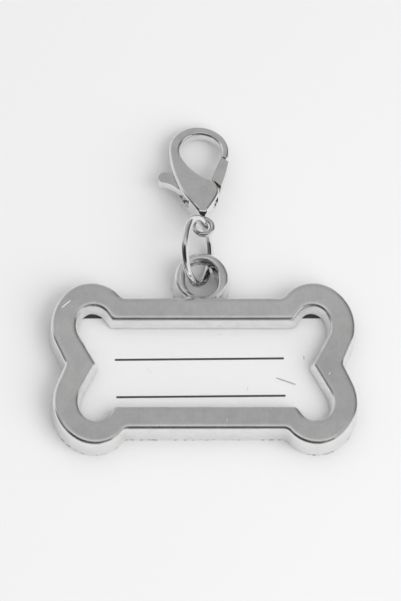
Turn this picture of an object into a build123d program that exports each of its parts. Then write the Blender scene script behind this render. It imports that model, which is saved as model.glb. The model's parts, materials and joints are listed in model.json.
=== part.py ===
"""Bone-shaped pet tag on a jump ring and a lobster clasp, lying on its back.

X runs along the bone, Y from the bone towards the clasp and Z up out of the tag's front.
The origin is the middle of the tag's back.
"""

import os
from math import asin, atan2, cos, degrees, dist, radians, sin, sqrt, tan

from build123d import *

# Bone frame, sizes at its back, where the casting is largest
TAG_LENGTH = 50.0
TAG_WIDTH = 29.4
TAG_DEPTH = 4.1
WAIST_STEP = 2.725
LOBE_RADIUS = 5.9
SIDE_SWELL = 2.55
SIDE_DROP = 2.05
CLEFT_ANGLE = 23.0
NECK_RADIUS = 1.0
CLEFT_FILLET = 0.6
WALL_DRAFT = 3.75
OUTER_EDGE_FILLET = 0.5

# Window, cut through the frame with sloping walls
RAIL_BAND = 3.9
LOBE_BAND = 4.4
LOBE_INSET = 3.1
WINDOW_CORNER_RUN = 0.38
WINDOW_CLEFT_ANGLE = 28.0
WINDOW_DRAFT = 14.5
WINDOW_NOSE_FILLET = 0.35
WINDOW_CORNER_FILLET = 0.4
INNER_EDGE_FILLET = 0.35

# Rear pocket and what lies in it, from the back up
POCKET_END_BAND = 3.5
POCKET_SIDE_BAND = 1.325
POCKET_CORNER = 1.0
PLATE_THICKNESS = 1.2
CARD_END_MARGIN = 1.25
CARD_SIDE_MARGIN = 1.525
CARD_THICKNESS = 0.25
FILM_THICKNESS = 0.3
SHEET_CLEARANCE = 0.1
STACK_CLEARANCE = 0.01

# Eyelet cast on the upper rail
EYELET_RADIUS = 4.8
EYELET_STANDOFF = 3.575
EYELET_HOLE_RADIUS = 2.7
EYELET_HOLE_STRETCH = 1.0
EYELET_HOLE_DROP = 0.2
EYELET_TOP = 3.75
EYELET_DRAFT = 7.6
EYELET_EDGE_FILLET = 0.4
RING_GROOVE_DEPTH = 1.55
RING_GROOVE_START = 1.45

# Jump ring, where it stands through the eyelet, from the eyelet's middle
RING_PLACE = (-0.72, 3.75, 5.53)
RING_LEAN = 24.65
RING_TURN = -9.65
RING_RADIUS = 5.35
RING_WIRE = 1.25
RING_SEAM = 0.1
RING_SEAM_ANGLE = 250.0

# Lobster clasp: where its loop hangs on the ring, from the eyelet's middle, and how far it is raised
CLASP_PLACE = (0.42, 8.65, 4.45)
CLASP_TILT = 9.7
LOOP_RADIUS = 1.55
LOOP_BAR = 0.9
HOOK_CENTRE = (-0.16, 14.55)
HOOK_OUTER_RADIUS = 4.92
HOOK_HOLE_CENTRE = (0.08, 14.4)
HOOK_INNER_RADIUS = 3.42
HOOK_DEPTH = 1.8
BODY_DEPTH = 4.1
PIVOT = (0.3, 6.3)
BOSS_RADIUS = 2.45
HOOK_END_RADIUS = 7.45
CLASP_EDGE_FILLET = 0.45
LIP_LEFT_ANGLE = 205.0
BOSS_LOW_ANGLE = -25.0
TIP_CORNER = (-0.1, 0.9)
FLANK_END = (-3.2, 5.85)
OUTLINE_FILLET = 0.45
TAIL_CUT_TOP = 2.5
TAIL_CUT_LOW = 0.6

# Lever, rivet and spring
SLOT_WIDTH = 1.7
LEVER_SIDE_CLEARANCE = 0.1
LEVER_HUB_RADIUS = 1.8
SLOT_HUB_CLEARANCE = 0.85
SLOT_ARM_CLEARANCE = 0.4
GATE_STEP_CLEARANCE = 0.15
GATE_FOOT_LAP = 0.3
GATE_TIP_CLEARANCE = 0.25
GATE_LIP_CLEARANCE = 0.12
LEVER_OPEN_ANGLE = 24.0
RIVET_DIAMETER = 1.1
RIVET_SEAT_CLEARANCE = 0.01
RIVET_RUN_CLEARANCE = 0.05
SPRING_THICKNESS = 0.2
SPRING_WIDTH = 1.2
SPRING_BEND = 0.3
SPRING_TOP = (-3.1, 6.0)
SPRING_BEND_TOP = (-1.75, 5.15)
SPRING_BEND_LOW = (-1.8, 4.31)
SPRING_LOW = (-2.76, 4.56)
TAB_TOP = (-5.85, 10.35)
TAB_TIP = (-7.0, 9.4)
TAB_LOW = (-6.6, 8.4)
TAB_HOLLOW = (-5.2, 8.0)
TAB_ROOT = (-4.0, 7.1)
GATE_OUT_ANGLE = 54.0
GATE_IN_ANGLE = 65.0
GATE_ROOT_OUT = (2.75, 6.0)
GATE_ROOT_IN = (1.5, 8.1)
GATE_INNER = (2.35, 10.45)
GATE_OUTER = (3.95, 9.6)


def polar(centre, radius, angle):
    """Point at an angle in degrees on a circle."""
    return (centre[0] + radius * cos(radians(angle)), centre[1] + radius * sin(radians(angle)))


def bearing(centre, point):
    """Angle in degrees from a centre to a point."""
    return degrees(atan2(point[1] - centre[1], point[0] - centre[0]))


def crossing(centre_a, radius_a, centre_b, radius_b):
    """The right-hand point where circle a crosses circle b."""
    gap = dist(centre_a, centre_b)
    along = (gap * gap + radius_a * radius_a - radius_b * radius_b) / (2 * gap)
    aside = sqrt(radius_a * radius_a - along * along)
    heading = bearing(centre_a, centre_b)
    foot = polar(centre_a, along, heading)
    return polar(foot, aside, heading + 90)


def turned(point, angle):
    """A clasp point turned about the lever's pivot."""
    return polar(PIVOT, dist(PIVOT, point), bearing(PIVOT, point) + angle)


# Side of the bone's end, whose centre the outline and the window share
SIDE_RADIUS = LOBE_RADIUS + SIDE_SWELL
SIDE_CENTRE = (TAG_LENGTH / 2 - SIDE_RADIUS, TAG_WIDTH / 2 - LOBE_RADIUS - SIDE_DROP)
WAIST_WIDTH = TAG_WIDTH - 2 * WAIST_STEP
FRONT_INSET = TAG_DEPTH * tan(radians(WALL_DRAFT))
WINDOW_INSET = FRONT_INSET + RAIL_BAND
WINDOW_LOBE_RADIUS = LOBE_RADIUS - LOBE_INSET

# Pocket, cut from the back, and the places that follow from the rail
POCKET_LENGTH = TAG_LENGTH - 2 * POCKET_END_BAND
POCKET_WIDTH = WAIST_WIDTH - 2 * POCKET_SIDE_BAND
POCKET_DEPTH = PLATE_THICKNESS + CARD_THICKNESS + FILM_THICKNESS + 3 * STACK_CLEARANCE
EYELET_CENTRE_Y = WAIST_WIDTH / 2 + EYELET_STANDOFF
RING_CENTRE = (RING_PLACE[0], EYELET_CENTRE_Y + RING_PLACE[1], RING_PLACE[2])
CLASP_LOOP = (CLASP_PLACE[0], EYELET_CENTRE_Y + CLASP_PLACE[1], CLASP_PLACE[2])


def lobe_centre(top, lobe_radius, side_radius):
    """Centre of the lobe's top, which runs smoothly into the side."""
    height = top - lobe_radius
    reach = sqrt((side_radius - lobe_radius) ** 2 - (height - SIDE_CENTRE[1]) ** 2)
    return (SIDE_CENTRE[0] + reach, height)


def bone_end(centre, lobe_radius, side_radius, cleft_angle, start):
    """Lobe from a starting angle, round its side and straight into the cleft."""
    blend = bearing(SIDE_CENTRE, centre)
    cleft_start = polar(SIDE_CENTRE, side_radius, -cleft_angle)
    cleft_x = cleft_start[0] - cleft_start[1] * tan(radians(cleft_angle))
    CenterArc(centre, lobe_radius, blend, start - blend)
    CenterArc(SIDE_CENTRE, side_radius, -cleft_angle, blend + cleft_angle)
    Line(cleft_start, (cleft_x, 0))


def bone_quarter():
    """Outline of the bone's upper right quarter: a straight rail, the neck and the lobe."""
    lobe = lobe_centre(TAG_WIDTH / 2, LOBE_RADIUS, SIDE_RADIUS)
    neck_y = WAIST_WIDTH / 2 + NECK_RADIUS
    neck = (lobe[0] - sqrt((LOBE_RADIUS + NECK_RADIUS) ** 2 - (neck_y - lobe[1]) ** 2), neck_y)
    Line((0, WAIST_WIDTH / 2), (neck[0], WAIST_WIDTH / 2))
    CenterArc(neck, NECK_RADIUS, -90, bearing(neck, lobe) + 90)
    bone_end(lobe, LOBE_RADIUS, SIDE_RADIUS, CLEFT_ANGLE, bearing(lobe, neck) % 360)


def window_quarter():
    """Outline of the window's upper right quarter: a straight rail, a corner and the lobe."""
    side_radius = SIDE_RADIUS - WINDOW_INSET
    lobe = lobe_centre(TAG_WIDTH / 2 - LOBE_BAND, WINDOW_LOBE_RADIUS, side_radius)
    corner = (lobe[0] - WINDOW_LOBE_RADIUS - WINDOW_CORNER_RUN, WAIST_WIDTH / 2 - WINDOW_INSET)
    slope = bearing(corner, lobe) + degrees(asin(WINDOW_LOBE_RADIUS / dist(corner, lobe)))
    Line((0, corner[1]), corner)
    Line(corner, polar(lobe, WINDOW_LOBE_RADIUS, slope + 90))
    bone_end(lobe, WINDOW_LOBE_RADIUS, side_radius, WINDOW_CLEFT_ANGLE, slope + 90)


def cleft_corners(sketch):
    """The two sharp corners at the middle of the bone's ends."""
    return sketch.vertices().group_by(lambda v: abs(v.Y))[0].sort_by(lambda v: abs(v.X))[-2:]


def rail_corners(sketch):
    """The four corners where the window's rails turn into its lobes."""
    rail_y = WAIST_WIDTH / 2 - WINDOW_INSET
    on_rail = sketch.vertices().filter_by(lambda v: abs(abs(v.Y) - rail_y) < STACK_CLEARANCE)
    return on_rail.sort_by(lambda v: abs(v.X))[-4:]


# Eyelet: a drafted round ear with an oblong hole, its foot buried in the upper rail
with BuildPart() as eyelet:
    with BuildSketch():
        with Locations((0, EYELET_CENTRE_Y)):
            Circle(EYELET_RADIUS)
    extrude(amount=EYELET_TOP)
    draft(eyelet.faces().filter_by(GeomType.CYLINDER), Plane.XY, EYELET_DRAFT)
    with BuildSketch():
        with Locations((0, EYELET_CENTRE_Y - EYELET_HOLE_DROP)):
            SlotCenterToCenter(EYELET_HOLE_STRETCH, 2 * EYELET_HOLE_RADIUS, rotation=90)
    extrude(amount=EYELET_TOP, mode=Mode.SUBTRACT)
    fillet(eyelet.faces().sort_by(Axis.Z)[-1].edges(), EYELET_EDGE_FILLET)
    with BuildSketch(Plane.YZ.offset(-TAG_WIDTH)):
        Polygon(
            (EYELET_CENTRE_Y + RING_GROOVE_START, 0),
            (EYELET_CENTRE_Y + RING_GROOVE_START + RING_GROOVE_DEPTH / 2, RING_GROOVE_DEPTH),
            (TAG_WIDTH, RING_GROOVE_DEPTH),
            (TAG_WIDTH, 0),
            align=None,
        )
    extrude(amount=2 * TAG_WIDTH, mode=Mode.SUBTRACT)
    groove_roof = eyelet.faces().filter_by(Axis.Z).filter_by_position(Axis.Z, 0.1, EYELET_TOP - 0.1)
    fillet(groove_roof.edges().filter_by(GeomType.LINE, reverse=True), EYELET_EDGE_FILLET)

# Window: the bone's outline moved in, narrowing from the front to the pocket
with BuildPart() as window:
    with BuildSketch(Plane.XY.offset(POCKET_DEPTH)) as window_outline:
        with BuildLine():
            window_quarter()
            mirror(about=Plane.YZ)
            mirror(about=Plane.XZ)
        make_face()
        fillet(cleft_corners(window_outline), WINDOW_NOSE_FILLET)
        fillet(rail_corners(window_outline), WINDOW_CORNER_FILLET)
    extrude(amount=TAG_DEPTH - POCKET_DEPTH)
    window_walls = window.faces().filter_by(Axis.Z, reverse=True)
    draft(window_walls, Plane.XY.offset(TAG_DEPTH), -WINDOW_DRAFT)

# Bone-shaped casting
with BuildPart() as bone_frame:
    with BuildSketch() as bone_outline:
        with BuildLine():
            bone_quarter()
            mirror(about=Plane.YZ)
            mirror(about=Plane.XZ)
        make_face()
        fillet(cleft_corners(bone_outline), CLEFT_FILLET)
    extrude(amount=TAG_DEPTH)
    draft(bone_frame.faces().filter_by(Axis.Z, reverse=True), Plane.XY, WALL_DRAFT)
    fillet(bone_frame.faces().sort_by(Axis.Z)[-1].edges(), OUTER_EDGE_FILLET)
    add(eyelet.part)
    add(window.part, mode=Mode.SUBTRACT)
    front_face = bone_frame.faces().filter_by(Axis.Z).sort_by(Axis.Z)[-1]
    fillet(front_face.inner_wires()[0].edges(), INNER_EDGE_FILLET)
    with BuildSketch():
        RectangleRounded(POCKET_LENGTH, POCKET_WIDTH, POCKET_CORNER)
    extrude(amount=POCKET_DEPTH, mode=Mode.SUBTRACT)
bone_frame.part.label = "bone_frame"

# Sheets in the rear pocket
CARD_BASE = PLATE_THICKNESS + STACK_CLEARANCE
FILM_BASE = CARD_BASE + CARD_THICKNESS + STACK_CLEARANCE

with BuildPart() as rear_plate:
    with BuildSketch():
        RectangleRounded(
            POCKET_LENGTH - 2 * SHEET_CLEARANCE,
            POCKET_WIDTH - 2 * SHEET_CLEARANCE,
            POCKET_CORNER - SHEET_CLEARANCE,
        )
    extrude(amount=PLATE_THICKNESS)
rear_plate.part.label = "rear_plate"

with BuildPart() as name_card:
    with BuildSketch(Plane.XY.offset(CARD_BASE)):
        Rectangle(POCKET_LENGTH - 2 * CARD_END_MARGIN, POCKET_WIDTH - 2 * CARD_SIDE_MARGIN)
    extrude(amount=CARD_THICKNESS)
name_card.part.label = "name_card"

with BuildPart() as window_film:
    with BuildSketch(Plane.XY.offset(FILM_BASE)):
        RectangleRounded(
            POCKET_LENGTH - 2 * SHEET_CLEARANCE,
            POCKET_WIDTH - 2 * SHEET_CLEARANCE,
            POCKET_CORNER - SHEET_CLEARANCE,
        )
    extrude(amount=FILM_THICKNESS)
window_film.part.label = "window_film"

# Jump ring: round wire bent to a circle, its two ends nearly touching
RING_AXIS = Vector(
    cos(radians(RING_LEAN)) * cos(radians(RING_TURN)),
    cos(radians(RING_LEAN)) * sin(radians(RING_TURN)),
    sin(radians(RING_LEAN)),
)
RING_UP = RING_AXIS.cross(Vector(1, 0, 0)).normalized()
RING_SIDE = RING_AXIS.cross(RING_UP)
SEAM_OUT = RING_UP * cos(radians(RING_SEAM_ANGLE)) + RING_SIDE * sin(radians(RING_SEAM_ANGLE))

with BuildPart() as jump_ring:
    with BuildSketch(Plane(RING_CENTRE, x_dir=SEAM_OUT, z_dir=SEAM_OUT.cross(RING_AXIS))):
        with Locations((RING_RADIUS, 0)):
            Circle(RING_WIRE / 2)
    revolve(axis=Axis(RING_CENTRE, RING_AXIS), revolution_arc=360 - degrees(RING_SEAM / RING_RADIUS))
jump_ring.part.label = "jump_ring"

# Clasp planes: flat through its middle, and upright along its length
CLASP_NORMAL = Vector(0, sin(radians(CLASP_TILT)), cos(radians(CLASP_TILT)))
CLASP_ALONG = Vector(0, cos(radians(CLASP_TILT)), -sin(radians(CLASP_TILT)))
CLASP_FLAT = Plane(CLASP_LOOP, x_dir=Vector(1, 0, 0), z_dir=CLASP_NORMAL)
CLASP_UPRIGHT = Plane(CLASP_LOOP, x_dir=CLASP_ALONG, z_dir=Vector(-1, 0, 0))

# Corners of the clasp's outline, in its flat plane, with the loop's centre at (0, 0)
HOOK_END_OUT = crossing(HOOK_CENTRE, HOOK_OUTER_RADIUS, PIVOT, HOOK_END_RADIUS)
HOOK_END_IN = crossing(HOOK_HOLE_CENTRE, HOOK_INNER_RADIUS, PIVOT, HOOK_END_RADIUS)
HOOK_LEFT = polar(HOOK_CENTRE, HOOK_OUTER_RADIUS, 180)
LIP_LEFT = polar(HOOK_HOLE_CENTRE, HOOK_INNER_RADIUS, LIP_LEFT_ANGLE)
LIP_RADIUS = (
    (LIP_LEFT[0] - PIVOT[0]) ** 2 + (LIP_LEFT[1] - PIVOT[1]) ** 2 - BOSS_RADIUS**2
) / (
    2 * BOSS_RADIUS
    + 2 * (LIP_LEFT[0] - PIVOT[0]) * cos(radians(LIP_LEFT_ANGLE))
    + 2 * (LIP_LEFT[1] - PIVOT[1]) * sin(radians(LIP_LEFT_ANGLE))
)
LIP_CENTRE = polar(LIP_LEFT, LIP_RADIUS, LIP_LEFT_ANGLE - 180)
LIP_RIGHT_ANGLE = bearing(PIVOT, LIP_CENTRE)
BOSS_LOW = polar(PIVOT, BOSS_RADIUS, BOSS_LOW_ANGLE)
CLASP_TOP = HOOK_CENTRE[1] + HOOK_OUTER_RADIUS


def clasp_depth(along):
    """Thickness of the clasp, which thins evenly from the loop to the top of the hook."""
    return BODY_DEPTH + (HOOK_DEPTH - BODY_DEPTH) * along / CLASP_TOP


# Wedge that the clasp's body, gate and rivet are all cut to
with BuildSketch(CLASP_UPRIGHT) as clasp_wedge:
    Polygon(
        (0, clasp_depth(0) / 2),
        (0, -clasp_depth(0) / 2),
        (CLASP_TOP + HOOK_DEPTH, -clasp_depth(CLASP_TOP + HOOK_DEPTH) / 2),
        (CLASP_TOP + HOOK_DEPTH, clasp_depth(CLASP_TOP + HOOK_DEPTH) / 2),
        align=None,
    )


# Slot for the lever: its hub at rest, and its arm from rest to fully open
SLOT_HUB_RADIUS = LEVER_HUB_RADIUS + SLOT_HUB_CLEARANCE
SLOT_FAR_TOP = (TAB_TOP[0], TAB_TOP[1] + SLOT_ARM_CLEARANCE)
SLOT_FAR_LOW = turned((TAB_HOLLOW[0], TAB_HOLLOW[1] - SLOT_ARM_CLEARANCE), LEVER_OPEN_ANGLE)

# Clasp casting: hook and body cut from one outline, thick at the body and thin at the hook
with BuildPart(CLASP_FLAT) as clasp_body:
    with BuildSketch(CLASP_FLAT) as clasp_outline:
        with BuildLine():
            hook_out = bearing(HOOK_CENTRE, HOOK_END_OUT)
            hook_in = bearing(HOOK_HOLE_CENTRE, HOOK_END_IN)
            CenterArc(HOOK_CENTRE, HOOK_OUTER_RADIUS, hook_out, 180 - hook_out)
            TangentArc(HOOK_LEFT, FLANK_END, tangent=(0, -1))
            Line(FLANK_END, TIP_CORNER)
            TangentArc(
                BOSS_LOW,
                TIP_CORNER,
                tangent=(sin(radians(BOSS_LOW_ANGLE)), -cos(radians(BOSS_LOW_ANGLE))),
            )
            CenterArc(PIVOT, BOSS_RADIUS, BOSS_LOW_ANGLE, LIP_RIGHT_ANGLE - BOSS_LOW_ANGLE)
            CenterArc(LIP_CENTRE, LIP_RADIUS, LIP_LEFT_ANGLE, LIP_RIGHT_ANGLE + 180 - LIP_LEFT_ANGLE)
            CenterArc(HOOK_HOLE_CENTRE, HOOK_INNER_RADIUS, LIP_LEFT_ANGLE, hook_in - LIP_LEFT_ANGLE)
            Line(HOOK_END_IN, HOOK_END_OUT)
        make_face()
        corners = (TIP_CORNER, HOOK_END_IN, HOOK_END_OUT)
        fillet([clasp_outline.vertices().sort_by_distance(c)[0] for c in corners], OUTLINE_FILLET)
    extrude(amount=BODY_DEPTH, both=True)
    extrude(clasp_wedge.sketch, amount=TAG_LENGTH, both=True, mode=Mode.INTERSECT)
    across = clasp_body.edges().filter_by(lambda e: abs(e.tangent_at(0.5).dot(CLASP_NORMAL)) > 0.95)
    fillet(clasp_body.edges() - across, CLASP_EDGE_FILLET)
    with BuildSketch(CLASP_UPRIGHT) as tail_cut:
        Polygon(
            (TAIL_CUT_LOW, LOOP_BAR / 2),
            (TAIL_CUT_TOP, BODY_DEPTH / 2),
            (TAIL_CUT_LOW, BODY_DEPTH),
            align=None,
        )
        mirror(about=Plane.XZ)
    extrude(amount=TAG_LENGTH, both=True, mode=Mode.SUBTRACT)
    with BuildSketch(Plane(CLASP_LOOP, x_dir=CLASP_ALONG, z_dir=Vector(1, 0, 0))):
        with Locations((LOOP_RADIUS, 0)):
            Circle(LOOP_BAR / 2)
    revolve(axis=Axis(CLASP_LOOP, CLASP_NORMAL))
    with BuildSketch(CLASP_FLAT.offset(-SLOT_WIDTH / 2)):
        with Locations(PIVOT):
            Circle(SLOT_HUB_RADIUS)
        with Locations(SLOT_FAR_TOP, SLOT_FAR_LOW):
            Circle(LEVER_SIDE_CLEARANCE)
        make_hull()
    extrude(amount=SLOT_WIDTH, mode=Mode.SUBTRACT)
    with BuildSketch(CLASP_FLAT):
        with Locations(PIVOT):
            Circle(RIVET_DIAMETER / 2 + RIVET_SEAT_CLEARANCE)
    extrude(amount=BODY_DEPTH, both=True, mode=Mode.SUBTRACT)
clasp_body.part.label = "clasp_body"

# Rivet, polished flush with both faces of the body where the lever turns
with BuildPart(CLASP_FLAT) as lever_rivet:
    with BuildSketch(CLASP_FLAT):
        with Locations(PIVOT):
            Circle(RIVET_DIAMETER / 2)
    extrude(amount=BODY_DEPTH, both=True)
    extrude(clasp_wedge.sketch, amount=TAG_LENGTH, both=True, mode=Mode.INTERSECT)
lever_rivet.part.label = "lever_rivet"

# Lever: hub and arm inside the slot, gate outside it as thick as the body beside it
LEVER_DEPTH = SLOT_WIDTH - 2 * LEVER_SIDE_CLEARANCE
GATE_TIP_RADIUS = HOOK_END_RADIUS - GATE_TIP_CLEARANCE
GATE_FOOT_RADIUS = BOSS_RADIUS + GATE_STEP_CLEARANCE
GATE_TIP_OUT = polar(PIVOT, GATE_TIP_RADIUS, GATE_OUT_ANGLE)
GATE_TIP_IN = polar(PIVOT, GATE_TIP_RADIUS, GATE_IN_ANGLE)
GATE_TIP = polar(PIVOT, GATE_TIP_RADIUS, (GATE_IN_ANGLE + GATE_OUT_ANGLE) / 2)

with BuildSketch() as gate_outline:
    with BuildLine():
        Line(GATE_ROOT_OUT, PIVOT)
        Line(PIVOT, GATE_ROOT_IN)
        ThreePointArc(GATE_ROOT_IN, GATE_INNER, GATE_TIP_IN)
        ThreePointArc(GATE_TIP_IN, GATE_TIP, GATE_TIP_OUT)
        ThreePointArc(GATE_TIP_OUT, GATE_OUTER, GATE_ROOT_OUT)
    make_face()

with BuildPart(CLASP_FLAT) as clasp_lever:
    with BuildSketch(CLASP_FLAT):
        add(gate_outline.sketch)
        with Locations(PIVOT):
            Circle(GATE_FOOT_RADIUS, mode=Mode.SUBTRACT)
        with Locations(turned(LIP_CENTRE, -LEVER_OPEN_ANGLE)):
            Circle(LIP_RADIUS - GATE_LIP_CLEARANCE, mode=Mode.INTERSECT)
    extrude(amount=BODY_DEPTH, both=True)
    extrude(clasp_wedge.sketch, amount=TAG_LENGTH, both=True, mode=Mode.INTERSECT)
    with BuildSketch(CLASP_FLAT.offset(-LEVER_DEPTH / 2)):
        add(gate_outline.sketch)
        with Locations(PIVOT):
            Circle(GATE_FOOT_RADIUS + GATE_FOOT_LAP, mode=Mode.INTERSECT)
            Circle(LEVER_HUB_RADIUS)
        with BuildLine():
            Line(polar(PIVOT, LEVER_HUB_RADIUS, 100), TAB_TOP)
            ThreePointArc(TAB_TOP, TAB_TIP, TAB_LOW)
            ThreePointArc(TAB_LOW, TAB_HOLLOW, TAB_ROOT)
            Line(TAB_ROOT, polar(PIVOT, LEVER_HUB_RADIUS, 230))
            Line(polar(PIVOT, LEVER_HUB_RADIUS, 230), PIVOT)
            Line(PIVOT, polar(PIVOT, LEVER_HUB_RADIUS, 100))
        make_face()
    extrude(amount=LEVER_DEPTH)
    with BuildSketch(CLASP_FLAT):
        with Locations(PIVOT):
            Circle(RIVET_DIAMETER / 2 + RIVET_RUN_CLEARANCE)
    extrude(amount=BODY_DEPTH, both=True, mode=Mode.SUBTRACT)
clasp_lever.part.label = "clasp_lever"

# Hairpin leaf spring between the lever's arm and the floor of the slot
with BuildPart(CLASP_FLAT) as lever_spring:
    with BuildSketch(CLASP_FLAT.offset(-SPRING_WIDTH / 2)):
        with BuildLine():
            FilletPolyline(SPRING_TOP, SPRING_BEND_TOP, SPRING_BEND_LOW, SPRING_LOW, radius=SPRING_BEND)
        trace(line_width=SPRING_THICKNESS)
    extrude(amount=SPRING_WIDTH)
lever_spring.part.label = "lever_spring"

PIECES = (
    bone_frame,
    window_film,
    name_card,
    rear_plate,
    jump_ring,
    clasp_body,
    clasp_lever,
    lever_rivet,
    lever_spring,
)
os.makedirs("parts", exist_ok=True)
for piece in PIECES:
    export_step(piece.part, f"parts/{piece.part.label}.step")
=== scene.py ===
"""Looks of a bone-shaped pet tag with a jump ring and a lobster clasp, lying on a pale table."""

import json
from math import pi, radians
from typing import NamedTuple

import bpy
from bpy.props import FloatProperty, FloatVectorProperty, PointerProperty
from mathutils import Matrix, Vector

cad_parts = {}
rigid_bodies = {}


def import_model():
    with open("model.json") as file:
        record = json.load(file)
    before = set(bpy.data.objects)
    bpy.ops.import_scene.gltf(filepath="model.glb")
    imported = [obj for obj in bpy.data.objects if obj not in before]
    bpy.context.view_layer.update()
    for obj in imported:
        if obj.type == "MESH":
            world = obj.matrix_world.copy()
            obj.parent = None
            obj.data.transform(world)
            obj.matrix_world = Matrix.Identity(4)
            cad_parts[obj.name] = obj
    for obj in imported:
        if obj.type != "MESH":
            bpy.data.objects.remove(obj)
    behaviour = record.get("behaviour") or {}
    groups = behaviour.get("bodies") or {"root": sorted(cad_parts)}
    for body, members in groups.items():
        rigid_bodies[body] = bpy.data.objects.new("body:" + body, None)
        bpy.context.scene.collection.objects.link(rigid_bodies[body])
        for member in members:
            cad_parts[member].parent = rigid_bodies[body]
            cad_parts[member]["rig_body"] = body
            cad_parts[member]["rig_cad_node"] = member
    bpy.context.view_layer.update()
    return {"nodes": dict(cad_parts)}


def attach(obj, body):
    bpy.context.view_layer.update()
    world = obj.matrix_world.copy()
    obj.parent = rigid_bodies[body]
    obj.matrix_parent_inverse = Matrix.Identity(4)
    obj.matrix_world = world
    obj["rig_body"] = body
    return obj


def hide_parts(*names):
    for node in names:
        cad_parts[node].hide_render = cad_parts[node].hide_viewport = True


bl_info = {
    "name": "Bone Pet Tag",
    "version": (1, 0, 0),
    "blender": (4, 5, 0),
    "location": "View3D > Sidebar > Pet Tag",
    "description": "Polishes the tag, prints its card and sets the table for it",
    "category": "Object",
}

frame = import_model()
MM = 0.001

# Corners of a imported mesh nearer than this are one, and a rounded edge has this many steps
MERGE_REACH = 0.002 * MM
ROUNDING_SEGMENTS = 3

# A flat area is sought from the largest faces: how well its faces agree in slope and depth, and the least it holds
FLAT_SEEDS = 60
FLAT_COSINE = 0.98
FLAT_DEPTH = 0.001 * MM
FLAT_LEAST_FACES = 8
FLAT_LEAST_AREA = 1.0 * MM ** 2

# Light tent as the polished metal sees it: levels round its walls by heading in degrees, and up its roof by height
TENT_WALLS = (
    (-180, 0.14), (-150, 0.10), (-120, 0.14), (-96, 0.30), (-80, 0.30), (-64, 0.84), (2, 0.84), (14, 0.15),
    (58, 0.17), (70, 0.42), (112, 0.47), (128, 0.72), (160, 0.72), (174, 0.14), (180, 0.14),
)
TENT_ROOF = ((0.0, 0.36), (0.60, 0.36), (0.86, 0.37), (0.905, 0.41), (0.93, 0.48), (0.965, 0.66), (1.0, 0.76))
TENT_EAVES = (0.50, 0.90)

# Black flag in the tent: its direction, its edge as cosines from there, the heights of its foot, and its level
BLACK_FLAG = Vector((-0.12, -0.757, 0.643))
BLACK_FLAG_EDGE = (0.66, 0.74)
BLACK_FLAG_FOOT = (0.46, 0.60)
BLACK_FLAG_LEVEL = 0.035

# Soft box, table and camera, with the picture's shift from the front's middle in millimetres
KEY_PLACE = Vector((0.50, -0.36, 0.50))
KEY_AIM = Vector((0.0, 0.01, 0.0))
KEY_SIZE = 0.8
TABLE_SIZE = 4.0
TABLE_CUTS = 3
TABLE_ROUGHNESS = 0.7
TABLE_SPECULAR = 0.2
CAMERA_RIGHT = Vector((0.998, -0.028, 0.06))
CAMERA_UP = Vector((0.0, 0.907, 0.42))
CAMERA_SENSOR = 36.0
CAMERA_CLIP_START = 0.01
FRONT_MIDDLE = Vector((0.0, 0.0, 4.1 * MM))
PICTURE_SHIFT_LEFT = 0.6585
PICTURE_SHIFT_UP = 10.106

# Heights on the bone between which a finish comes in or goes out, and how finely its buffed edges are sampled
BUFFED_SAMPLES = 8
BUFFED_FROM = (3.1 * MM, 3.4 * MM)
SCRATCHED_FROM = (3.9 * MM, 4.0 * MM)
FLASH_UP_TO = (0.15 * MM, 0.75 * MM)
PITS_UP_TO = (0.10 * MM, 0.45 * MM)

# Walls are told from the flat front and back by how far up or down their normals point
WALL_SLOPE = (0.45, 0.85)

# Eyelet's middle, and how far from it the painted shade in its hole ends
EYELET_MIDDLE = (0.0, 15.3 * MM)
EYELET_SHADE_RIM = (3.5 * MM, 3.9 * MM)

# Shares and tones of the plating's marks
HAZE_SHARE = 0.85
DULL_TONE = 0.91
SCRATCH_TONE = (1.0, 1.0, 1.0)
SCRATCH_ROUGHNESS = 0.5
# Painted shade and dark reflection in the eyelet's hole: its tone and how much of it the blotches cover
EYELET_SHADE_TONE = (0.05, 0.05, 0.05)
EYELET_SHADE_COVER = 0.85
PIT_TONE = (0.04, 0.04, 0.04)
PIT_COVER = 0.85

# Card, film and rear plate
CARD_ROUGHNESS = 0.55
PULP_TONE = 0.985
PULP_DEPTH = 0.004 * MM
LINE_EDGE = (0.47, 0.53)
FILM_ROUGHNESS = 0.05
FILM_TONE = (0.95, 0.95, 0.96)
FILM_MARK_TONE = (0.05, 0.05, 0.05)
DUST_COVER = 0.5
STREAK_DEPTH = 0.002 * MM
PLATE_ROUGHNESS = (0.40, 0.62)
PLATE_DEPTH = 0.01 * MM


class Grain(NamedTuple):
    """Noise: its scale, detail and roughness, the span of it that counts, its stretch and its turn in degrees."""

    scale: float
    detail: float = 2.0
    roughness: float = 0.5
    low: float = 0.0
    high: float = 1.0
    stretch: tuple = (1.0, 1.0, 1.0)
    turn: float = 0.0


SMEARS = Grain(260.0, 4.0, 0.6, 0.35, 0.75)
HAZE = Grain(420.0, 6.0, 0.65, 0.36, 0.68)
BRUSHING = Grain(2600.0, 3.0, 0.6, 0.36, 0.66, (1.0, 0.07, 1.0), -6)
RUBBING = Grain(5200.0, low=0.58, high=0.74, stretch=(1.0, 0.05, 1.0), turn=-38)
WAVES = Grain(48.0, 0.0)
LEVEL_LINES = Grain(5200.0, stretch=(0.03, 0.03, 1.0))
FLASH = Grain(1150.0, 3.0, 0.7, 0.5, 0.66)
PITS = FLASH._replace(low=0.555, high=0.60)
SHADE_BLOTCHES = Grain(700.0, 3.0, 0.6, 0.47, 0.58)
PULP = Grain(2400.0, 4.0, low=0.3, high=0.7)
DUST = Grain(5200.0, 1.0, low=0.76, high=0.80)
DUST_PATCHES = Grain(420.0, 1.0, low=0.55, high=0.62)
FILM_STREAKS = Grain(3000.0, low=0.60, high=0.72, stretch=(1.0, 0.03, 1.0), turn=71)
PLATE_GRAIN = Grain(1800.0, 4.0, low=0.3, high=0.7)

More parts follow.
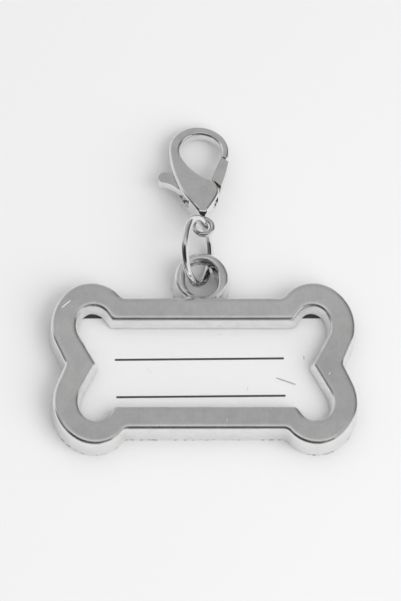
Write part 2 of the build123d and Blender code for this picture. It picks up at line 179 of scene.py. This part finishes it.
# Marks of use as strokes: middle, heading in degrees, length and width in millimetres, and strength
FACE_SCRATCHES = (
    ((-22.27, 10.50), 40.7, 2.20, 0.13, 1.0),
    ((-14.60, 13.10), 28.0, 0.90, 0.07, 0.6),
    ((20.30, -1.90), 64.0, 0.60, 0.10, 0.8),
    ((3.40, -10.20), 90.0, 0.50, 0.08, 0.6),
)
FILM_HAIRLINES = (
    ((13.35, -2.17), -20.9, 3.80, 0.10, 0.85),
    ((16.40, 2.00), 96.0, 0.62, 0.14, 0.55),
    ((-8.80, -0.30), -48.0, 1.50, 0.06, 0.22),
    ((7.05, -3.55), 84.0, 0.80, 0.10, 0.30),
    ((2.80, 6.20), 20.0, 0.90, 0.08, 0.20),
)

# Where a stroke fades, as shares of its length and of its width from the middle
STROKE_ENDS = (0.35, 0.5)
STROKE_SIDES = (0.3, 0.5)


class ChromeFinish(bpy.types.PropertyGroup):
    """Plating on the castings and the wire."""

    casting_color: FloatVectorProperty(
        name="Casting", description="Colour of the plated castings", subtype="COLOR", size=3,
        min=0.0, max=1.0, default=(0.885, 0.875, 0.872))
    wire_color: FloatVectorProperty(
        name="Wire", description="Colour of the plated wire", subtype="COLOR", size=3,
        min=0.0, max=1.0, default=(0.865, 0.857, 0.855))
    spring_color: FloatVectorProperty(
        name="Spring", description="Colour of the bare spring strip", subtype="COLOR", size=3,
        min=0.0, max=1.0, default=(0.55, 0.55, 0.57))
    gloss_low: FloatProperty(
        name="Least roughness", description="Roughness where the polish is best", subtype="FACTOR",
        min=0.0, max=1.0, default=0.02)
    gloss_high: FloatProperty(
        name="Most roughness", description="Roughness where handling has dulled the polish", subtype="FACTOR",
        min=0.0, max=1.0, default=0.07)
    wave_depth: FloatProperty(
        name="Casting waves", description="Height of the slow waves left by polishing", subtype="DISTANCE",
        unit="LENGTH", min=0.0, max=0.0010, default=0.0005)
    hair_depth: FloatProperty(
        name="Rubbed lines", description="Depth of the fine lines left by wear", subtype="DISTANCE",
        unit="LENGTH", min=0.0, max=0.0001, default=0.0000003)
    layer_depth: FloatProperty(
        name="Polishing lines", description="Depth of the fine level lines round the walls", subtype="DISTANCE",
        unit="LENGTH", min=0.0, max=0.0001, default=0.000005)
    flash_depth: FloatProperty(
        name="Flash", description="Height of the ragged flash round the back edge", subtype="DISTANCE",
        unit="LENGTH", min=0.0, max=0.001, default=0.00012)
    lever_rounding: FloatProperty(
        name="Lever rounding", description="Rounding that polishing leaves on the lever's edges",
        subtype="DISTANCE", unit="LENGTH", min=0.0, max=0.0005, default=0.00016)
    edge_softness: FloatProperty(
        name="Edge softness", description="How far from an edge buffing has rolled the bone's front off",
        subtype="DISTANCE", unit="LENGTH", min=0.0, max=0.003, default=0.0009)
    crease_angle: FloatProperty(
        name="Crease", description="Edges sharper than this stay crisp", subtype="ANGLE", unit="ROTATION",
        min=0.0, max=3.14, default=radians(32))
    clasp_crease: FloatProperty(
        name="Clasp crease", description="Edges of the clasp's body sharper than this stay crisp", subtype="ANGLE",
        unit="ROTATION", min=0.0, max=3.14, default=radians(56))


class CardFinish(bpy.types.PropertyGroup):
    """Printed card, clear film and rear plate."""

    paper_color: FloatVectorProperty(
        name="Paper", description="Colour of the card", subtype="COLOR", size=3,
        min=0.0, max=1.0, default=(0.83, 0.83, 0.83))
    ink_color: FloatVectorProperty(
        name="Ink", description="Colour of the ruled lines", subtype="COLOR", size=3,
        min=0.0, max=1.0, default=(0.015, 0.015, 0.016))
    # Near-black of the rear plate, which also stands in as painted shade for the dark gaps round the card's edges
    plate_and_gap_shade_color: FloatVectorProperty(
        name="Rear plate", description="Colour of the sheet behind the card", subtype="COLOR", size=3,
        min=0.0, max=1.0, default=(0.012, 0.012, 0.013))
    line_length: FloatProperty(
        name="Line length", description="Length of a ruled line", subtype="DISTANCE", unit="LENGTH",
        min=0.001, max=0.04, default=0.02754)
    line_width: FloatProperty(
        name="Line width", description="Thickness of a ruled line", subtype="DISTANCE", unit="LENGTH",
        min=0.00005, max=0.002, default=0.00038)
    line_centre: FloatProperty(
        name="Line centre", description="Middle of the lines along the bone", subtype="DISTANCE", unit="LENGTH",
        min=-0.02, max=0.02, default=-0.00061)
    upper_line: FloatProperty(
        name="Upper line", description="Place of the upper line across the bone", subtype="DISTANCE",
        unit="LENGTH", min=-0.009, max=0.009, default=0.00186)
    lower_line: FloatProperty(
        name="Lower line", description="Place of the lower line across the bone", subtype="DISTANCE",
        unit="LENGTH", min=-0.009, max=0.009, default=-0.00481)
    card_skew: FloatProperty(
        name="Skew", description="How far the print is turned on the card", subtype="ANGLE", unit="ROTATION",
        min=-0.1, max=0.1, default=radians(0.54))
    film_cover: FloatProperty(
        name="Film cover", description="How much the clear film hides", subtype="FACTOR",
        min=0.0, max=1.0, default=0.03)


class StageSettings(bpy.types.PropertyGroup):
    """Table, light and camera."""

    floor_color: FloatVectorProperty(
        name="Table", description="Colour of the table top", subtype="COLOR", size=3,
        min=0.0, max=1.0, default=(0.86, 0.86, 0.86))
    camera_distance: FloatProperty(
        name="Camera distance", description="From the lens to the tag", subtype="DISTANCE", unit="LENGTH",
        min=0.1, max=9.0, default=2.2)
    view_height: FloatProperty(
        name="View height", description="Height of the scene that the picture takes in", subtype="DISTANCE",
        unit="LENGTH", min=0.02, max=1.0, default=0.09757)
    key_power: FloatProperty(
        name="Key light", description="Power of the soft box", unit="POWER", min=0.0, max=100.0, default=4.65)
    fill_low: FloatProperty(
        name="Fill at the foot", description="Level of the light from all round, near the table",
        min=0.0, max=2.0, default=0.08)
    fill_high: FloatProperty(
        name="Fill overhead", description="Level of the light from all round, straight above",
        min=0.0, max=2.0, default=1.01)


class PetTagSettings(bpy.types.PropertyGroup):
    """All the sizes and colours of the tag's looks."""

    chrome: PointerProperty(type=ChromeFinish)
    card: PointerProperty(type=CardFinish)
    stage: PointerProperty(type=StageSettings)


def deselect_all():
    """Leave edit mode with nothing selected."""
    if bpy.context.object and bpy.context.object.mode != "OBJECT":
        bpy.ops.object.mode_set(mode="OBJECT")
    bpy.ops.object.select_all(action="DESELECT")


def make_active(piece):
    """Select one piece alone."""
    deselect_all()
    piece.select_set(True)
    bpy.context.view_layer.objects.active = piece


def merge_corners():
    """Join the active piece's split corners and drop the shading that it was packed with."""
    bpy.ops.object.mode_set(mode="EDIT")
    bpy.ops.mesh.select_all(action="SELECT")
    bpy.ops.mesh.remove_doubles(threshold=MERGE_REACH)
    bpy.ops.mesh.mark_sharp(clear=True)
    bpy.ops.mesh.customdata_custom_splitnormals_clear()
    bpy.ops.object.mode_set(mode="OBJECT")


def round_edges(piece, width, crease):
    """Round the active piece's edges that are sharper than the crease."""
    rounded = piece.modifiers.new("Rounded edges", "BEVEL")
    rounded.width = width
    rounded.segments = ROUNDING_SEGMENTS
    rounded.limit_method = "ANGLE"
    rounded.angle_limit = crease
    rounded.harden_normals = False
    bpy.ops.object.modifier_apply(modifier=rounded.name)


def select_flats(mesh):
    """Select the faces that lie in large flat areas."""
    mesh.polygons.foreach_set("select", [False] * len(mesh.polygons))
    for seed in sorted(mesh.polygons, key=lambda face: -face.area)[:FLAT_SEEDS]:
        if seed.select:
            continue
        level = seed.center.dot(seed.normal)
        near = [abs(point.co.dot(seed.normal) - level) < FLAT_DEPTH for point in mesh.vertices]
        plane = [face for face in mesh.polygons if face.normal.dot(seed.normal) > FLAT_COSINE
                 and all(near[corner] for corner in face.vertices)]
        if len(plane) >= FLAT_LEAST_FACES and sum(face.area for face in plane) > FLAT_LEAST_AREA:
            for face in plane:
                face.select = True


def even_shading(piece, crease):
    """Shade the active piece smooth up to the crease, with its flat areas left flat."""
    bpy.ops.object.shade_smooth_by_angle(angle=crease, keep_sharp_edges=False)
    bpy.ops.object.mode_set(mode="EDIT")
    bpy.ops.mesh.select_mode(type="FACE")
    bpy.ops.mesh.select_all(action="SELECT")
    bpy.ops.mesh.mod_weighted_strength(set=True, face_strength="WEAK")
    bpy.ops.object.mode_set(mode="OBJECT")
    select_flats(piece.data)
    bpy.ops.object.mode_set(mode="EDIT")
    bpy.ops.mesh.mod_weighted_strength(set=True, face_strength="STRONG")
    bpy.ops.object.mode_set(mode="OBJECT")
    weighted = piece.modifiers.new("Even faces", "WEIGHTED_NORMAL")
    weighted.keep_sharp = True
    weighted.use_face_influence = True
    weighted.mode = "CORNER_ANGLE"
    bpy.ops.object.modifier_apply(modifier=weighted.name)


def smooth_copy(node, body, name, crease, rounding=0.0):
    """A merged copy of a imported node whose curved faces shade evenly, its sharp edges rounded if asked."""
    make_active(frame["nodes"][node])
    bpy.ops.object.duplicate()
    piece = bpy.context.active_object
    piece.name = name
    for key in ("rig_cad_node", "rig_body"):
        if key in piece:
            del piece[key]
    piece.parent = None
    merge_corners()
    if rounding:
        round_edges(piece, rounding, crease)
    even_shading(piece, crease)
    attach(piece, body)
    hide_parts(node)
    return piece


class Tree:
    """A node tree, with short calls to add and join nodes."""

    def __init__(self, node_tree):
        self.nodes = node_tree.nodes
        self.links = node_tree.links

    def add(self, kind, **values):
        """A new node with some of its settings."""
        node = self.nodes.new(kind)
        for key, value in values.items():
            setattr(node, key, value)
        return node

    def join(self, source, target):
        """Link an output to an input."""
        self.links.new(source, target)

    def split(self, vector):
        """The parts X, Y and Z of a vector."""
        node = self.add("ShaderNodeSeparateXYZ")
        self.join(vector, node.inputs[0])
        return node.outputs

    def math(self, operation, first, second=None):
        """A sum on outputs or plain numbers."""
        node = self.add("ShaderNodeMath", operation=operation)
        for socket, value in zip(node.inputs, (first, second)):
            if value is None:
                continue
            if isinstance(value, (int, float)):
                socket.default_value = value
            else:
                self.join(value, socket)
        return node.outputs[0]

    def ramp(self, value, low, high, out_low=0.0, out_high=1.0, kind="SMOOTHSTEP"):
        """A value carried from one span to another."""
        node = self.add("ShaderNodeMapRange", interpolation_type=kind)
        for key, number in (("From Min", low), ("From Max", high), ("To Min", out_low), ("To Max", out_high)):
            node.inputs[key].default_value = number
        self.join(value, node.inputs["Value"])
        return node.outputs["Result"]

    def greys(self, value, stops):
        """A grey level looked up between stops."""
        node = self.add("ShaderNodeValToRGB")
        elements = node.color_ramp.elements
        elements[0].position = stops[0][0]
        elements[1].position = stops[-1][0]
        for place, _ in stops[1:-1]:
            elements.new(place)
        for element, (_, level) in zip(elements, stops):
            element.color = (level, level, level, 1.0)
        self.join(value, node.inputs["Fac"])
        return node.outputs["Color"]

    def mix(self, factor, first, second):
        """One colour turned into another, each an output or plain."""
        node = self.add("ShaderNodeMix", data_type="RGBA")
        self.join(factor, node.inputs["Factor"])
        for socket, color in ((node.inputs["A"], first), (node.inputs["B"], second)):
            if isinstance(color, tuple):
                socket.default_value = (*color, 1.0)
            else:
                self.join(color, socket)
        return node.outputs["Result"]


class Finish(Tree):
    """A material's node tree, with the marks that finishes are made of."""

    def __init__(self, name):
        self.material = bpy.data.materials.new(name)
        self.material.use_nodes = True
        super().__init__(self.material.node_tree)
        self.shader = self.nodes["Principled BSDF"]

    def place(self, kind="POINT", **values):
        """Object coordinates, moved, turned and stretched."""
        coordinates = self.add("ShaderNodeTexCoord")
        mapping = self.add("ShaderNodeMapping", vector_type=kind)
        for key, value in values.items():
            mapping.inputs[key].default_value = value
        self.join(coordinates.outputs["Object"], mapping.inputs["Vector"])
        return mapping.outputs["Vector"]

    def noise(self, grain, vector=None):
        """A grain's noise, on Object coordinates stretched and turned as it says if no others are given."""
        node = self.add("ShaderNodeTexNoise")
        node.inputs["Scale"].default_value = grain.scale
        node.inputs["Detail"].default_value = grain.detail
        node.inputs["Roughness"].default_value = grain.roughness
        if vector is None:
            vector = self.place(Scale=grain.stretch, Rotation=(0.0, 0.0, radians(grain.turn)))
        self.join(vector, node.inputs["Vector"])
        return node.outputs["Fac"]

    def spread(self, grain, low=0.0, high=1.0, vector=None):
        """The span of a grain's noise that counts, spread over other numbers."""
        return self.ramp(self.noise(grain, vector), grain.low, grain.high, low, high)

    def stroke(self, middle, heading, length, width, strength):
        """A fine line that fades at both ends, drawn across the front."""
        place = self.split(self.place(
            "TEXTURE", Location=(middle[0] * MM, middle[1] * MM, 0.0), Rotation=(0.0, 0.0, radians(heading))))
        along = self.math("ABSOLUTE", place["X"])
        across = self.math("ABSOLUTE", place["Y"])
        fade = self.ramp(along, *(share * length * MM for share in STROKE_ENDS), strength, 0.0)
        core = self.ramp(across, *(share * width * MM for share in STROKE_SIDES), 1.0, 0.0)
        return self.math("MULTIPLY", fade, core)

    def strokes(self, marks):
        """All of a set of fine lines in one mask."""
        mask = self.stroke(*marks[0])
        for mark in marks[1:]:
            mask = self.math("MAXIMUM", mask, self.stroke(*mark))
        return mask

    def near(self, middle, rim):
        """Mask of all that stands near a point of the table's plane."""
        length = self.add("ShaderNodeVectorMath", operation="LENGTH")
        self.join(self.place(Location=(-middle[0], -middle[1], 0.0), Scale=(1.0, 1.0, 0.0)), length.inputs[0])
        return self.ramp(length.outputs["Value"], *rim, 1.0, 0.0)

    def upright(self):
        """Mask of the walls, without the flat front and back."""
        normal = self.split(self.add("ShaderNodeTexCoord").outputs["Normal"])
        return self.ramp(self.math("ABSOLUTE", normal["Z"]), *WALL_SLOPE, 1.0, 0.0)

    def buffed(self, height, reach):
        """Normals that roll off softly near the edges of the bone's front."""
        soft = self.add("ShaderNodeBevel", samples=BUFFED_SAMPLES)
        soft.inputs["Radius"].default_value = reach
        plain = self.add("ShaderNodeNewGeometry")
        blend = self.add("ShaderNodeMix", data_type="VECTOR")
        self.join(self.ramp(height, *BUFFED_FROM), blend.inputs["Factor"])
        self.join(plain.outputs["Normal"], blend.inputs["A"])
        self.join(soft.outputs["Normal"], blend.inputs["B"])
        return blend.outputs["Result"]

    def bump(self, height, distance, under=None):
        """Normals raised by a height, over others if given."""
        node = self.add("ShaderNodeBump")
        node.inputs["Strength"].default_value = 1.0
        node.inputs["Distance"].default_value = distance
        self.join(height, node.inputs["Height"])
        if under is not None:
            self.join(under, node.inputs["Normal"])
        return node.outputs["Normal"]


def chrome_finish(name, color, settings, cast=False):
    """Polished plate: hazed and brushed tone, uneven gloss, slow waves, rubbed hairs and level lines on the walls.

    The bone's casting also has buffed edges, scratches, flash and pits round its back, and painted shade in its
    eyelet's hole.
    """
    look = Finish(name)
    look.shader.inputs["Metallic"].default_value = 1.0
    height = look.split(look.place())["Z"]
    gloss = look.spread(SMEARS, settings.gloss_low, settings.gloss_high)
    dull = look.math("ADD", look.spread(HAZE, 0.0, HAZE_SHARE), look.spread(BRUSHING, 0.0, 1.0 - HAZE_SHARE))
    tone = look.mix(dull, tuple(color), tuple(c * DULL_TONE for c in color))
    buffed = look.buffed(height, settings.edge_softness) if cast else None
    normal = look.bump(look.noise(WAVES), settings.wave_depth, buffed)
    normal = look.bump(look.spread(RUBBING), settings.hair_depth, normal)
    normal = look.bump(look.noise(LEVEL_LINES), settings.layer_depth, normal)
    if cast:
        scratched = look.math("MULTIPLY", look.strokes(FACE_SCRATCHES), look.ramp(height, *SCRATCHED_FROM))
        tone = look.mix(scratched, tone, SCRATCH_TONE)
        look.join(look.math("SUBTRACT", 1.0, scratched), look.shader.inputs["Metallic"])
        gloss = look.math("MAXIMUM", gloss, look.math("MULTIPLY", scratched, SCRATCH_ROUGHNESS))
        upright = look.upright()
        near_back = look.math("MULTIPLY", upright, look.ramp(height, *FLASH_UP_TO, 1.0, 0.0))
        flash = look.math("MULTIPLY", near_back, look.spread(FLASH))
        normal = look.bump(flash, settings.flash_depth, normal)
        # Painted shade: the walls of the eyelet's hole are darkened in blotches, standing in for the shade and
        # dark reflections in the hole
        eyelet_shade_area = look.math("MULTIPLY", upright, look.near(EYELET_MIDDLE, EYELET_SHADE_RIM))
        painted_eyelet_shade = look.math("MULTIPLY", eyelet_shade_area, look.spread(SHADE_BLOTCHES, 0.0, EYELET_SHADE_COVER))
        tone = look.mix(painted_eyelet_shade, tone, EYELET_SHADE_TONE)
        at_foot = look.math("MULTIPLY", upright, look.ramp(height, *PITS_UP_TO, 1.0, 0.0))
        pits = look.math("MULTIPLY", at_foot, look.spread(PITS, 0.0, PIT_COVER))
        tone = look.mix(pits, tone, PIT_TONE)
    look.join(tone, look.shader.inputs["Base Color"])
    look.join(gloss, look.shader.inputs["Roughness"])
    look.join(normal, look.shader.inputs["Normal"])
    return look.material


def card_finish(name, settings):
    """White card with two ruled lines."""
    look = Finish(name)
    look.shader.inputs["Roughness"].default_value = CARD_ROUGHNESS
    turned = look.place(Rotation=(0.0, 0.0, -settings.card_skew))
    place = look.split(turned)
    along = look.math("ABSOLUTE", look.math("SUBTRACT", place["X"], settings.line_centre))
    within = look.math("LESS_THAN", along, settings.line_length / 2)
    bands = []
    for line in (settings.upper_line, settings.lower_line):
        away = look.math("ABSOLUTE", look.math("SUBTRACT", place["Y"], line))
        bands.append(look.ramp(away, *(settings.line_width * share for share in LINE_EDGE), 1.0, 0.0))
    ink = look.math("MULTIPLY", look.math("MAXIMUM", *bands), within)
    pulp = look.spread(PULP, vector=turned)
    paper = look.mix(pulp, tuple(c * PULP_TONE for c in settings.paper_color), tuple(settings.paper_color))
    look.join(look.mix(ink, paper, tuple(settings.ink_color)), look.shader.inputs["Base Color"])
    look.join(look.bump(pulp, PULP_DEPTH), look.shader.inputs["Normal"])
    return look.material


def film_finish(name, settings):
    """Clear film with hairlines, dust and rubbed streaks."""
    look = Finish(name)
    look.shader.inputs["Roughness"].default_value = FILM_ROUGHNESS
    dust = look.math("MULTIPLY", look.spread(DUST, 0.0, DUST_COVER), look.spread(DUST_PATCHES))
    marks = look.math("MAXIMUM", look.strokes(FILM_HAIRLINES), dust)
    look.join(look.mix(marks, FILM_TONE, FILM_MARK_TONE), look.shader.inputs["Base Color"])
    look.join(look.math("MAXIMUM", marks, settings.film_cover), look.shader.inputs["Alpha"])
    look.join(look.bump(look.spread(FILM_STREAKS), STREAK_DEPTH), look.shader.inputs["Normal"])
    return look.material


def plate_and_gap_shade_finish(name, settings):
    """Thin black sheet with a faint grain; its black is also painted shade in the gaps round the card's edges."""
    look = Finish(name)
    look.shader.inputs["Base Color"].default_value = (*settings.plate_and_gap_shade_color, 1.0)
    look.join(look.spread(PLATE_GRAIN, *PLATE_ROUGHNESS), look.shader.inputs["Roughness"])
    look.join(look.bump(look.noise(PLATE_GRAIN), PLATE_DEPTH), look.shader.inputs["Normal"])
    return look.material


def dress(piece, material):
    """Give a piece one material."""
    piece.data.materials.clear()
    piece.data.materials.append(material)


class PETTAG_OT_bone_frame(bpy.types.Operator):
    """Polish the bone-shaped casting"""

    bl_idname = "pettag.bone_frame"
    bl_label = "Bone Frame"

    def execute(self, context):
        chrome = context.scene.pet_tag.chrome
        piece = smooth_copy("bone_frame", "tag", "polished_bone", chrome.crease_angle)
        dress(piece, chrome_finish("Chromed casting", chrome.casting_color, chrome, cast=True))
        return {"FINISHED"}


class PETTAG_OT_window(bpy.types.Operator):
    """Print the card, clear the film and blacken the rear plate, whose black also paints the shade in the gaps
    round the card
    """

    bl_idname = "pettag.window"
    bl_label = "Card Window"

    def execute(self, context):
        card = context.scene.pet_tag.card
        dress(frame["nodes"]["name_card"], card_finish("Ruled card", card))
        dress(frame["nodes"]["window_film"], film_finish("Clear film", card))
        dress(frame["nodes"]["rear_plate"], plate_and_gap_shade_finish("Black sheet and gap shade", card))
        return {"FINISHED"}


class PETTAG_OT_jump_ring(bpy.types.Operator):
    """Polish the jump ring"""

    bl_idname = "pettag.jump_ring"
    bl_label = "Jump Ring"

    def execute(self, context):
        chrome = context.scene.pet_tag.chrome
        piece = smooth_copy("jump_ring", "ring", "polished_ring", chrome.crease_angle)
        dress(piece, chrome_finish("Chromed wire", chrome.wire_color, chrome))
        return {"FINISHED"}


class PETTAG_OT_clasp(bpy.types.Operator):
    """Polish the lobster clasp, its lever, its rivet and its spring"""

    bl_idname = "pettag.clasp"
    bl_label = "Lobster Clasp"

    def execute(self, context):
        chrome = context.scene.pet_tag.chrome
        plated = chrome_finish("Chromed clasp", chrome.casting_color, chrome)
        bare = chrome_finish("Bright spring", chrome.spring_color, chrome)
        crisp, soft = chrome.crease_angle, chrome.clasp_crease
        for node, body, name, finish, slot, crease, rounding in (
            ("clasp_body", "clasp", "polished_clasp", plated, "chrome_casting", soft, 0.0),
            ("clasp_lever", "lever", "polished_lever", plated, "chrome_casting", crisp, chrome.lever_rounding),
            ("lever_rivet", "clasp", "polished_rivet", plated, "chrome_wire", crisp, 0.0),
            ("lever_spring", "clasp", "bright_spring", bare, "spring_steel", crisp, 0.0),
        ):
            piece = smooth_copy(node, body, name, crease, rounding)
            dress(piece, finish)
        return {"FINISHED"}


class PETTAG_OT_stage(bpy.types.Operator):
    """Lay the table, hang the soft light and place the camera"""

    bl_idname = "pettag.stage"
    bl_label = "Stage"

    def execute(self, context):
        stage = context.scene.pet_tag.stage
        self.lay_table(stage)
        self.hang_key(stage)
        self.hang_tent(context, stage)
        self.place_camera(context, stage)
        context.scene.view_settings.view_transform = "Standard"
        return {"FINISHED"}

    def lay_table(self, stage):
        """A plain pale table top."""
        deselect_all()
        bpy.ops.mesh.primitive_plane_add(size=TABLE_SIZE, location=(0.0, 0.0, 0.0))
        table = bpy.context.active_object
        table.name = "table_top"
        bpy.ops.object.mode_set(mode="EDIT")
        bpy.ops.mesh.subdivide(number_cuts=TABLE_CUTS)
        bpy.ops.object.mode_set(mode="OBJECT")
        look = Finish("Pale table")
        look.shader.inputs["Roughness"].default_value = TABLE_ROUGHNESS
        look.shader.inputs["Specular IOR Level"].default_value = TABLE_SPECULAR
        look.shader.inputs["Base Color"].default_value = (*stage.floor_color, 1.0)
        dress(table, look.material)

    def hang_key(self, stage):
        """A soft box over the right-hand front, which the metal doesn't mirror."""
        deselect_all()
        bpy.ops.object.light_add(type="AREA", location=KEY_PLACE)
        key = bpy.context.active_object
        key.name = "soft_box"
        key.data.shape = "SQUARE"
        key.data.size = KEY_SIZE
        key.data.energy = stage.key_power
        key.rotation_euler = (KEY_AIM - key.location).to_track_quat("-Z", "Y").to_euler()
        key.visible_glossy = False

    def hang_tent(self, context, stage):
        """Light from all round: glossy rays see a tent with a black flag, the camera a plain backdrop."""
        world = bpy.data.worlds.new("Light tent")
        context.scene.world = world
        world.use_nodes = True
        tent = Tree(world.node_tree)
        path = tent.add("ShaderNodeLightPath").outputs
        around = tent.add("ShaderNodeTexCoord").outputs["Generated"]
        ray = tent.split(around)
        heading = tent.ramp(tent.math("ARCTAN2", ray["Y"], ray["X"]), -pi, pi, kind="LINEAR")
        walls = tent.greys(heading, [(degree / 360 + 0.5, level) for degree, level in TENT_WALLS])
        roof = tent.greys(ray["Z"], TENT_ROOF)
        cloth = tent.mix(tent.ramp(ray["Z"], *TENT_EAVES), walls, roof)
        facing = tent.add("ShaderNodeVectorMath", operation="DOT_PRODUCT")
        facing.inputs[1].default_value = BLACK_FLAG
        tent.join(around, facing.inputs[0])
        flag = tent.math("MULTIPLY", tent.ramp(facing.outputs["Value"], *BLACK_FLAG_EDGE),
                         tent.ramp(ray["Z"], *BLACK_FLAG_FOOT))
        mirrored = tent.mix(flag, cloth, (BLACK_FLAG_LEVEL, BLACK_FLAG_LEVEL, BLACK_FLAG_LEVEL))
        fill = tent.ramp(ray["Z"], 0.0, 1.0, stage.fill_low, stage.fill_high, kind="LINEAR")
        light = tent.mix(path["Is Glossy Ray"], fill, mirrored)
        backdrop = tent.mix(path["Is Camera Ray"], light, tuple(stage.floor_color))
        tent.join(backdrop, tent.nodes["Background"].inputs["Color"])

    def place_camera(self, context, stage):
        """A long lens over the table's near edge."""
        right = CAMERA_RIGHT.normalized()
        up = (CAMERA_UP - right * CAMERA_UP.dot(right)).normalized()
        toward = right.cross(up)
        target = FRONT_MIDDLE - right * PICTURE_SHIFT_LEFT * MM + up * PICTURE_SHIFT_UP * MM
        deselect_all()
        bpy.ops.object.camera_add()
        camera = bpy.context.active_object
        camera.name = "table_camera"
        place = Matrix((right, up, toward)).transposed().to_4x4()
        place.translation = target + toward * stage.camera_distance
        camera.matrix_world = place
        camera.data.sensor_width = CAMERA_SENSOR
        camera.data.lens = camera.data.sensor_width * stage.camera_distance / stage.view_height
        camera.data.clip_start = CAMERA_CLIP_START
        context.scene.camera = camera


class PETTAG_PT_panel(bpy.types.Panel):
    """Lists the steps that dress the tag"""

    bl_idname = "PETTAG_PT_panel"
    bl_label = "Pet Tag"
    bl_space_type = "VIEW_3D"
    bl_region_type = "UI"
    bl_category = "Pet Tag"

    def draw(self, context):
        settings = context.scene.pet_tag
        for operator in STEPS:
            self.layout.operator(operator.bl_idname)
        for group in (settings.chrome, settings.card, settings.stage):
            box = self.layout.box()
            for key in group.__annotations__:
                box.prop(group, key)


STEPS = (
    PETTAG_OT_bone_frame,
    PETTAG_OT_window,
    PETTAG_OT_jump_ring,
    PETTAG_OT_clasp,
    PETTAG_OT_stage,
)
CLASSES = (ChromeFinish, CardFinish, StageSettings, PetTagSettings, *STEPS, PETTAG_PT_panel)


def register():
    for cls in CLASSES:
        bpy.utils.register_class(cls)
    bpy.types.Scene.pet_tag = PointerProperty(type=PetTagSettings)


def unregister():
    del bpy.types.Scene.pet_tag
    for cls in reversed(CLASSES):
        bpy.utils.unregister_class(cls)


def main():
    register()
    bpy.ops.pettag.bone_frame()
    bpy.ops.pettag.window()
    bpy.ops.pettag.jump_ring()
    bpy.ops.pettag.clasp()
    bpy.ops.pettag.stage()
    deselect_all()


if __name__ == "__main__":
    main()
